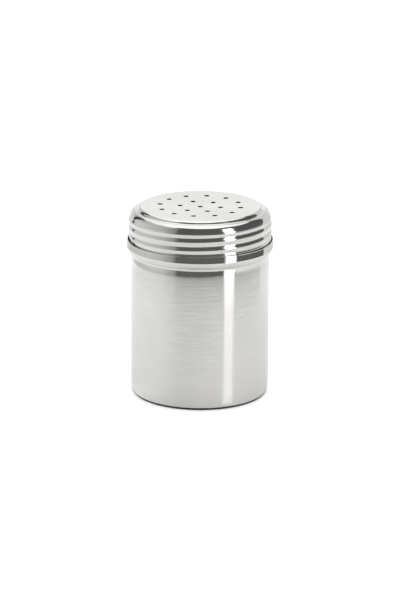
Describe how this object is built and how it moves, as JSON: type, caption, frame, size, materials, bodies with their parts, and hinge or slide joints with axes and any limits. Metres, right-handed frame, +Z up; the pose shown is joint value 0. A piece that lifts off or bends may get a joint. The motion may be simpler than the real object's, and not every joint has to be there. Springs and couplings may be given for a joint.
{
  "type": "spice shaker with screw lid",
  "caption": "Round stainless steel shaker with a perforated, dished screw lid that turns down inside the collar of its cup.",
  "frame": {"origin": "centre of the surface that the shaker stands on, on its axis", "axes": "+Z up along the axis of the cup and lid; -Y is the front"},
  "size_m": [0.0742, 0.0742, 0.0975],
  "materials": {
    "cup_steel": "satin, brushed round the axis, with a polished collar",
    "neck_steel": "plain mill finish",
    "lid_steel": "polished skirt and shoulder, satin disc"
  },
  "bodies": {
    "cup": {"body_shell": "cup_steel", "neck_ring": "neck_steel"},
    "lid": {"screw_lid": "lid_steel"}
  },
  "joints": [
    {"name": "lid_lift", "type": "slide", "parent": "cup", "child": "lid", "axis": [0, 0, 1], "range_m": [0, 0.03]}
  ]
}
